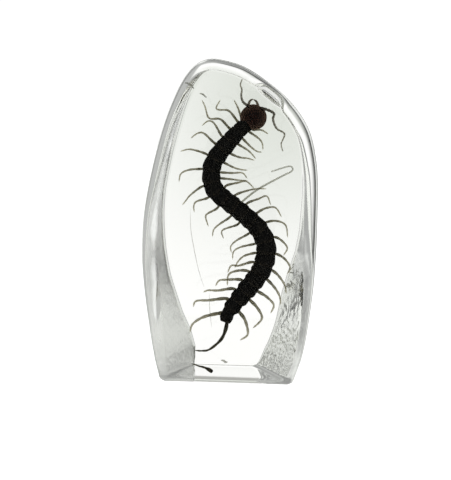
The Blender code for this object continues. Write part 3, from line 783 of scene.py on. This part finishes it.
# The walls draw in level below the first height, and square to the outline above the second.
UPRIGHT_BELOW = 2.2
SQUARE_ABOVE = 12.0
# The border's inner line turns the base corners below this height, with this much rounding.
BASE_CORNER = 4.0
BASE_CORNER_ROUND = 0.8
# The mould's pebbled skin ends at these heights on the left and on the right, in a wavy faded edge,
# and begins just above the base.
PEBBLE_TOP = (54.0, 38.0)
PEBBLE_FADE = 10.0
PEBBLE_WAVE = 4.0
PEBBLE_WAVE_SCALE = (0.2, 0.15)
PEBBLE_FOOT = 1.5
# How far it reaches out past the border's inner line as seen from the front, and its edge's width.
PEBBLE_SHIFT = (1.1, 0.2)
PEBBLE_EDGE = 0.8
# A pebble's size, how its pattern is drawn out in depth and how deep it is by height, and its grit.
PEBBLE_SIZE = 0.7
PEBBLE_STRETCH = ((0.0, 0.32), (10.0, 0.32), (30.0, 0.15), (HEIGHT, 0.15))
PEBBLE_DEPTH = ((0.0, 0.1), (18.0, 0.09), (26.0, 0.06), (HEIGHT, 0.05))
PEBBLE_CROWN = 1.3
GRIT_SIZE = 0.25
GRIT_SHARE = 0.25
# Each wall reads its own side of the pattern.
PATTERN_SIDE = 50.0
# The left wall is dull all the way up, past the border's inner line by this much, and the right one
# only where it is pebbled.
DULL_SHIFT = ((0.0, 1.3), (34.0, 1.3), (40.0, 0.95), (64.0, 0.8), (70.0, 2.5), (HEIGHT, 2.5))
DULL_EDGE = 0.3
UPPER_DULLNESS = 0.7
RIGHT_DULLNESS = 0.35
DULL_ROUGHNESS = 0.3
FINE_STEP = 0.2
COARSE_STEP = 0.9
RESIN_IOR = 1.49
RESIN_TINT = (0.95, 0.965, 0.87, 1.0)
RESIN_TINT_DENSITY = 5.0


def resin_material():
    """Clear resin with a trace of green, polished where its walls aren't dull from the mould."""
    material = bpy.data.materials.new("clear_resin")
    material.use_nodes = True
    nodes, links = material.node_tree.nodes, material.node_tree.links
    shader = nodes["Principled BSDF"]
    shader.inputs["Base Color"].default_value = (1.0, 1.0, 1.0, 1.0)
    shader.inputs["Metallic"].default_value = 0.0
    shader.inputs["Transmission Weight"].default_value = 1.0
    shader.inputs["IOR"].default_value = RESIN_IOR
    dullness = nodes.new("ShaderNodeAttribute")
    dullness.attribute_name = "dull"
    rough = nodes.new("ShaderNodeMapRange")
    rough.inputs["To Max"].default_value = DULL_ROUGHNESS
    links.new(dullness.outputs["Fac"], rough.inputs["Value"])
    links.new(rough.outputs["Result"], shader.inputs["Roughness"])
    tint = nodes.new("ShaderNodeVolumeAbsorption")
    tint.inputs["Color"].default_value = RESIN_TINT
    tint.inputs["Density"].default_value = RESIN_TINT_DENSITY
    links.new(tint.outputs["Volume"], nodes["Material Output"].inputs["Volume"])
    return material


def pebbled_share(x, z):
    """How far the pebbled skin reaches: 1 on the lower walls, fading out with a wavy edge."""
    top = PEBBLE_TOP[0] if x < 0 else PEBBLE_TOP[1]
    wave = PEBBLE_WAVE * noise.noise(Vector((x * PEBBLE_WAVE_SCALE[0], 0.0, z * PEBBLE_WAVE_SCALE[1])))
    return ramp(top + wave - z, 0.0, PEBBLE_FADE)


def spaced_outline():
    """The outline with close points where the walls are pebbled and wide ones elsewhere."""
    line = smooth_line(OUTLINE, 12)
    spaced = [line[0]]
    since = 0.0
    for before, point in zip(line, line[1:]):
        since += (point - before).length
        fine = pebbled_share(point.x, point.y) > 0.0
        if since >= (FINE_STEP if fine else COARSE_STEP) or point is line[-1]:
            spaced.append(point)
            since = 0.0
    half_width = (cad_high.x - cad_low.x) / MM / 2
    for point in spaced:
        point.x = min(max(point.x, -half_width), half_width)
        point.y = min(max(point.y, 0.0), HEIGHT)
    return spaced


# The ways inwards from the outline: square to it for the border, level near the base for the walls.
outline = spaced_outline()
squares = []
levels = []
for number, point in enumerate(outline):
    way = outline[min(number + 1, len(outline) - 1)] - outline[max(number - 1, 0)]
    square = Vector((way.y, -way.x)).normalized()
    sideways = Vector((-math.copysign(1.0, point.x), 0.0))
    share = ramp(point.y, UPRIGHT_BELOW, SQUARE_ABOVE - UPRIGHT_BELOW)
    squares.append(Vector((0.0, 1.0)) if point.y == 0.0 else square)
    levels.append(sideways.lerp(square, share).normalized())
base_steps = round((outline[-1] - outline[0]).length / COARSE_STEP)
borders = [look_up(BORDER[point.x > 0], point.y) for point in outline]
insets = [look_up(BACK_INSET[point.x > 0], point.y) for point in outline]
reaches = [square * width for square, width in zip(squares, borders)]
# The border's inner line turns the two base corners in a curve.
for first, step in ((0, 1), (len(outline) - 1, -1)):
    last = first
    while outline[last].y < BASE_CORNER:
        last += step
    top = outline[last] + reaches[last]
    slope = (outline[last + step].x - outline[last].x) / (outline[last + step].y - outline[last].y)
    bend = Vector((top.x - slope * (top.y - borders[first]), borders[first]))
    foot = bend + Vector((math.copysign(BASE_CORNER_ROUND, -bend.x), 0.0))
    for number in range(first, last, step):
        share = (number - first) / (last - first)
        inner = foot.lerp(bend, share).lerp(bend.lerp(top, share), share)
        reaches[number] = inner - outline[number]

# The rings of the block from the front face to the back one: face, groove, border, walls, back edge.
block_rings = []
for inside, depth in ((FACE_LIP, 0.0), (2 * GROOVE_REACH, 0.0), (GROOVE_REACH, GROOVE_DEPTH)):
    ring = []
    for point, reach in zip(outline, reaches):
        place = point + reach * (1.0 + inside / reach.length)
        share = ramp(point.y, GROOVE_FROM[point.x > 0], GROOVE_FADE)
        ring.append(Vector((place.x, CAD_FRONT + depth * share, place.y)))
    block_rings.append(ring)
for step in range(BORDER_RINGS + 1):
    turn = math.radians(90.0) * step / BORDER_RINGS
    ring = []
    for point, reach, width in zip(outline, reaches, borders):
        place = point + reach * (1.0 - math.sin(turn))
        depth = width * BORDER_DEPTH_RATIO * (1.0 - math.cos(turn))
        ring.append(Vector((place.x, CAD_FRONT + depth, place.y)))
    block_rings.append(ring)
walls = []
for point, level, width, reach in zip(outline, levels, borders, insets):
    foot = point + level * reach
    begin = Vector((point.x, CAD_FRONT + width * BORDER_DEPTH_RATIO, point.y))
    end = Vector((foot.x, CAD_FRONT + BASE_DEPTH - LEAN * foot.y, foot.y))
    walls.append((begin, end, level))
rounds = [look_up(BACK_ROUND, point.y) for point in outline]
for step in range(1, WALL_RINGS + 1):
    ring = []
    for (begin, end, _), radius in zip(walls, rounds):
        share = (1.0 - radius / (end.y - begin.y)) * step / WALL_RINGS
        place = begin.lerp(end, share ** WALL_BULGE)
        place.y = begin.y + (end.y - begin.y) * share
        ring.append(place)
    block_rings.append(ring)


def by_the_back(end, level, inwards, before):
    """A place inwards from a wall's far end, and before the leaning back face."""
    lift = max(1.0 - end.z / UPRIGHT_BELOW, 0.0)
    place = end + Vector((level.x, 0.0, level.y + lift)) * inwards
    place.y = CAD_FRONT + BASE_DEPTH - LEAN * place.z - before
    return place


for step in range(1, BACK_RINGS + 1):
    turn = math.radians(90.0) * step / BACK_RINGS
    block_rings.append([
        by_the_back(end, level, radius * (1.0 - math.cos(turn)), radius * (1.0 - math.sin(turn)))
        for (_, end, level), radius in zip(walls, rounds)
    ])
block_rings.append([
    by_the_back(end, level, radius + FACE_LIP, 0.0) for (_, end, level), radius in zip(walls, rounds)
])

block = bmesh.new()
dull = block.verts.layers.float.new("dull")
ring_verts = []
for ring in block_rings:
    base = [ring[-1].lerp(ring[0], step / base_steps) for step in range(1, base_steps)]
    if ring_verts:
        fresh, edges = extrude_on(block, edges)
        fresh = set(fresh)
        verts = [
            next(end for edge in vert.link_edges for end in edge.verts if end in fresh) for vert in verts
        ]
        for vert, place in zip(verts, ring + base):
            vert.co = place
    else:
        verts = [block.verts.new(place) for place in ring + base]
        edges = [block.edges.new((verts[number - 1], verts[number])) for number in range(len(verts))]
        bmesh.ops.edgeloop_fill(block, edges=edges)
    ring_verts.append(verts[:len(ring)])
bmesh.ops.edgeloop_fill(block, edges=edges)
bmesh.ops.recalc_face_normals(block, faces=block.faces)
block.normal_update()
# The mould's skin on the walls: where it is dull, and how far each pebble is pressed in.
moved = []
for verts in ring_verts[-(WALL_RINGS + BACK_RINGS + 1):-(BACK_RINGS + 2)]:
    for vert, point, width in zip(verts, outline, borders):
        spot = vert.co
        inset = (Vector((spot.x, spot.z)) - point).length - width
        share = pebbled_share(spot.x, spot.z) * ramp(inset, -PEBBLE_SHIFT[point.x > 0], PEBBLE_EDGE)
        share *= ramp(spot.z, 0.0, PEBBLE_FOOT)
        if point.x < 0:
            upper = ramp(spot.z, PEBBLE_TOP[0], PEBBLE_FADE)
            reach = ramp(inset, -look_up(DULL_SHIFT, spot.z), DULL_EDGE)
            vert[dull] = reach * (1.0 - (1.0 - UPPER_DULLNESS) * upper)
        elif share > 0.0:
            vert[dull] = share * RIGHT_DULLNESS
        if share > 0.0:
            deep = (spot.y - CAD_FRONT) * look_up(PEBBLE_STRETCH, spot.z)
            flat = Vector((math.copysign(PATTERN_SIDE, point.x), deep, spot.z))
            pebble = min(noise.voronoi(flat / PEBBLE_SIZE)[0][0] * PEBBLE_CROWN, 1.0) ** 2
            grit = noise.cell(flat / GRIT_SIZE)
            moved.append((vert, look_up(PEBBLE_DEPTH, spot.z) * (pebble + GRIT_SHARE * grit) * share))
for vert, depth in moved:
    vert.co -= vert.normal * depth
finish_piece("clear_block", block, [resin_material()], ["resin_front", "resin_back"], "clear_resin")

# --- Camera, floor and light ----------------------------------------
# A long lens a little above the block and to its right, a pale floor, and a white backdrop in a
# grey room, with soft lights and dark flags that show in the clear resin.

CAMERA_TURN = math.radians(2.0)
CAMERA_RISE = math.radians(10.5)
CAMERA_ROLL = math.radians(1.09)
CAMERA_AWAY = 300.0
CAMERA_LENS = 84.9
LOOK_AT = Vector((-0.95, -11.0, 39.0))
NEAREST_SEEN = 10.0
FLOOR_SIZE = 1200.0
FLOOR_GAP = 0.02
FLOOR_PAINT = (0.92, 0.92, 0.92, 1.0)

away = Vector((
    math.sin(CAMERA_TURN) * math.cos(CAMERA_RISE),
    -math.cos(CAMERA_TURN) * math.cos(CAMERA_RISE),
    math.sin(CAMERA_RISE),
))
right = Vector((0.0, 0.0, 1.0)).cross(away).normalized()
up = away.cross(right)
turned_right = right * math.cos(CAMERA_ROLL) + up * math.sin(CAMERA_ROLL)
turned_up = up * math.cos(CAMERA_ROLL) - right * math.sin(CAMERA_ROLL)
lens = bpy.data.cameras.new("camera")
lens.lens = CAMERA_LENS
lens.clip_start = NEAREST_SEEN * MM
camera = bpy.data.objects.new("camera", lens)
camera.matrix_world = (
    Matrix.Translation((LOOK_AT + away * CAMERA_AWAY) * MM)
    @ Matrix((turned_right, turned_up, away)).transposed().to_4x4()
)
bpy.context.scene.collection.objects.link(camera)
bpy.context.scene.camera = camera

# Only the camera sees the floor: the block's own light passes through it.
floor_mesh = bmesh.new()
bmesh.ops.create_grid(floor_mesh, x_segments=2, y_segments=2, size=FLOOR_SIZE * MM / 2,
                      matrix=Matrix.Translation((0.0, 0.0, -FLOOR_GAP * MM)))
floor_data = bpy.data.meshes.new("pale_floor")
floor_mesh.to_mesh(floor_data)
floor_mesh.free()
floor_paint = bpy.data.materials.new("floor_paint")
floor_paint.use_nodes = True
nodes, links = floor_paint.node_tree.nodes, floor_paint.node_tree.links
floor_shader = nodes["Principled BSDF"]
floor_shader.inputs["Base Color"].default_value = FLOOR_PAINT
floor_shader.inputs["Roughness"].default_value = 0.8
floor_shader.inputs["Emission Strength"].default_value = 1.0
seen = nodes.new("ShaderNodeLightPath")
let_through = nodes.new("ShaderNodeBsdfTransparent")
only_seen = nodes.new("ShaderNodeMixShader")
links.new(seen.outputs["Is Camera Ray"], only_seen.inputs["Fac"])
links.new(let_through.outputs["BSDF"], only_seen.inputs[1])
links.new(floor_shader.outputs["BSDF"], only_seen.inputs[2])
links.new(only_seen.outputs["Shader"], nodes["Material Output"].inputs["Surface"])
floor_data.materials.append(floor_paint)
floor = bpy.data.objects.new("pale_floor", floor_data)
bpy.context.scene.collection.objects.link(floor)

# The lights and flags: direction as degrees to the right of straight back
# and above level, radius of the even part and of the faded edge in degrees, and brightness.
ROOM_GREY = (0.78, 0.795, 0.77, 1.0)
SOFT_LIGHTS = (
    (-175.0, 65.0, 35.0, 48.0, 0.5),
    (-105.0, -64.0, 23.0, 72.0, 0.98),
    (42.0, -41.0, 23.0, 30.0, 1.1),
    (76.0, -24.0, 13.0, 18.5, 1.1),
    (-58.0, 14.5, 15.0, 23.0, 0.27),
    (30.0, 45.0, 20.0, 73.0, 0.22),
    (15.5, -10.0, 22.0, 36.0, 0.47),
    (30.0, -31.0, 6.0, 15.0, 0.3),
    (-10.0, -43.0, 9.0, 18.0, 0.3),
    (-63.0, -22.5, 5.0, 17.0, 0.36),
    (-45.0, -17.0, 4.0, 9.5, 0.42),
    (-15.0, -17.0, 12.0, 15.5, 0.04),
    (180.0, -10.5, 10.0, 17.0, 0.05),
)
# The lights' trace of green, as shares of red, green and blue.
LIGHT_TINT = (0.985, 1.0, 0.98)
# The backdrop behind the block: its faded edges, each as the axis of the direction that it crosses,
# where it is out and where it is fully in. Three darker fields lie over its white, with their own.
BACKDROP_WHITE = (1.07, 1.07, 1.06, 1.0)
BACKDROP_EDGES = (
    ("X", -0.4, -0.16), ("X", 0.17, 0.1), ("Z", -0.48, -0.38), ("Z", 0.5, 0.35), ("Y", 0.0, 0.3),
)
BACKDROP_FIELDS = (
    ((0.76, 0.79, 0.735, 1.0), (("X", -0.17, 0.0), ("Z", -0.35, -0.14), ("Z", 0.2, 0.1))),
    ((0.64, 0.66, 0.62, 1.0), (("X", -0.1, -0.2), ("Z", -0.24, -0.32))),
    ((0.4, 0.4, 0.38, 1.0), (("Z", -0.1, 0.0), ("Z", 0.225, 0.15))),
)
# How often light may pass through or be thrown back.
BOUNCES = 24
GLOSSY_BOUNCES = 16


def eased(nodes, links, value, start, end):
    """A smooth step of a value from 0 at start to 1 at end."""
    step = nodes.new("ShaderNodeMapRange")
    step.interpolation_type = "SMOOTHSTEP"
    step.inputs["From Min"].default_value = start
    step.inputs["From Max"].default_value = end
    links.new(value, step.inputs["Value"])
    return step.outputs["Result"]


def within_edges(nodes, links, split, edges):
    """How far a direction lies within faded edges: the product of a smooth step for each."""
    steps = [eased(nodes, links, split.outputs[axis], start, end) for axis, start, end in edges]
    share = steps[0]
    for step in steps[1:]:
        times = nodes.new("ShaderNodeMath")
        times.operation = "MULTIPLY"
        links.new(share, times.inputs[0])
        links.new(step, times.inputs[1])
        share = times.outputs["Value"]
    return share


def laid_over(nodes, links, share, below, above):
    """One colour over another by a share; each is a plain colour or a socket."""
    mix = nodes.new("ShaderNodeMix")
    mix.data_type = "RGBA"
    links.new(share, mix.inputs["Factor"])
    for colour, socket in ((below, mix.inputs["A"]), (above, mix.inputs["B"])):
        if isinstance(colour, bpy.types.NodeSocket):
            links.new(colour, socket)
        else:
            socket.default_value = colour
    return mix.outputs["Result"]


world = bpy.data.worlds.new("white_surround")
bpy.context.scene.world = world
world.use_nodes = True
nodes, links = world.node_tree.nodes, world.node_tree.links
direction = nodes.new("ShaderNodeTexCoord").outputs["Generated"]
split = nodes.new("ShaderNodeSeparateXYZ")
links.new(direction, split.inputs["Vector"])
surround = ROOM_GREY
for turn, rise, even, faded, value in SOFT_LIGHTS:
    turn, rise = math.radians(turn), math.radians(rise)
    towards = nodes.new("ShaderNodeVectorMath")
    towards.operation = "DOT_PRODUCT"
    towards.inputs[1].default_value = (
        math.sin(turn) * math.cos(rise), math.cos(turn) * math.cos(rise), math.sin(rise)
    )
    links.new(direction, towards.inputs[0])
    inside = eased(nodes, links, towards.outputs["Value"],
                   math.cos(math.radians(faded)), math.cos(math.radians(even)))
    light = (*(value * share for share in LIGHT_TINT), 1.0)
    surround = laid_over(nodes, links, inside, surround, light)
backdrop = BACKDROP_WHITE
for colour, edges in BACKDROP_FIELDS:
    backdrop = laid_over(nodes, links, within_edges(nodes, links, split, edges), backdrop, colour)
on_backdrop = within_edges(nodes, links, split, BACKDROP_EDGES)
surround = laid_over(nodes, links, on_backdrop, surround, backdrop)
seen = nodes.new("ShaderNodeLightPath")
cut_out = laid_over(nodes, links, seen.outputs["Is Camera Ray"], surround, BACKDROP_WHITE)
links.new(cut_out, nodes["Background"].inputs["Color"])
bpy.context.scene.view_settings.view_transform = "Standard"
bpy.context.scene.cycles.max_bounces = BOUNCES
bpy.context.scene.cycles.glossy_bounces = GLOSSY_BOUNCES
bpy.context.scene.cycles.transmission_bounces = BOUNCES
